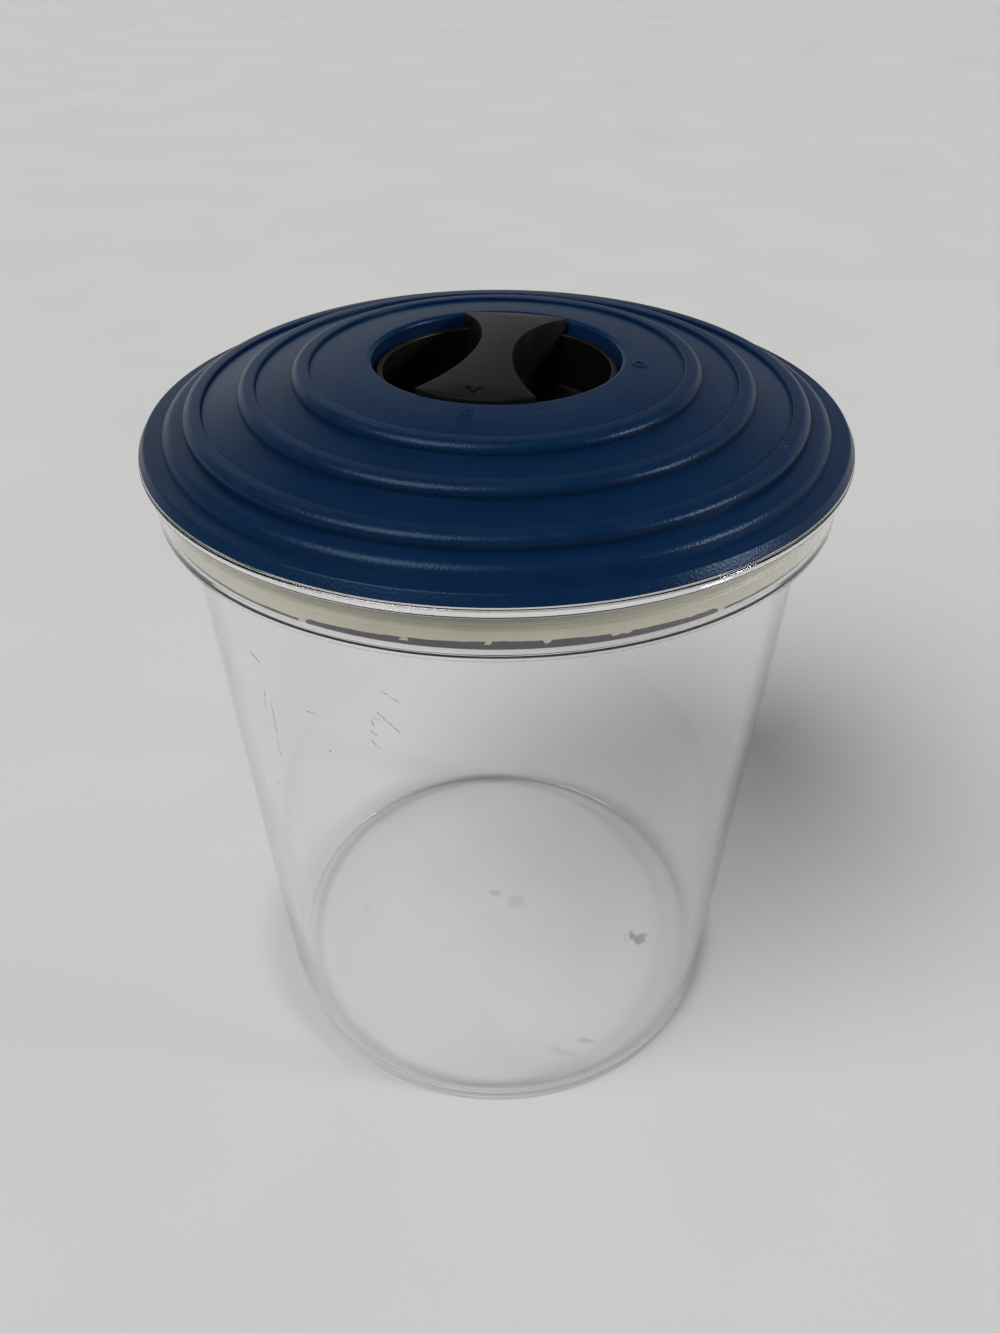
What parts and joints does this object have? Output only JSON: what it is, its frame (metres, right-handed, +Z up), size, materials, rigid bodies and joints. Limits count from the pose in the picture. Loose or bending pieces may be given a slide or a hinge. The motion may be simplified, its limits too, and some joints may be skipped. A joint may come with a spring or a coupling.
{
  "type": "airtight canister",
  "caption": "Clear tapered vacuum food canister with a flared rim, a rippled domed lid on a silicone gasket and a turning valve dial with an hourglass grip.",
  "frame": {"origin": "centre of the base's underside, on the surface that the canister stands on", "axes": "+Z up the body's axis; the dial's pointer faces -Y at rest"},
  "size_m": [0.1612, 0.1612, 0.1972],
  "materials": {
    "clear_plastic": "clear polished moulding with light scratches",
    "blue_plastic": "satin moulding with a fine pebbled texture",
    "cream_silicone": "soft satin",
    "grey_silicone": "soft satin",
    "black_plastic": "satin moulding",
    "black_rubber": "matte",
    "steel": "plain stainless"
  },
  "bodies": {
    "canister": {"canister_body": "clear_plastic"},
    "lid": {"lid_shell": "blue_plastic", "lid_gasket": "cream_silicone", "check_valve": "grey_silicone"},
    "dial": {"valve_dial": "black_plastic", "dial_seal": "grey_silicone", "stem_o_ring": "black_rubber", "spring_washer": "steel", "retaining_washer": "steel", "retaining_screw": "steel"}
  },
  "joints": [
    {"name": "lid_lift", "type": "slide", "parent": "canister", "child": "lid", "axis": [0, 0, 1], "range_m": [0, 0.1]},
    {"name": "dial_turn", "type": "hinge", "parent": "lid", "child": "dial", "pos_m": [0, 0, 0.18], "axis": [0, 0, 1], "range_deg": [0, 90]}
  ]
}
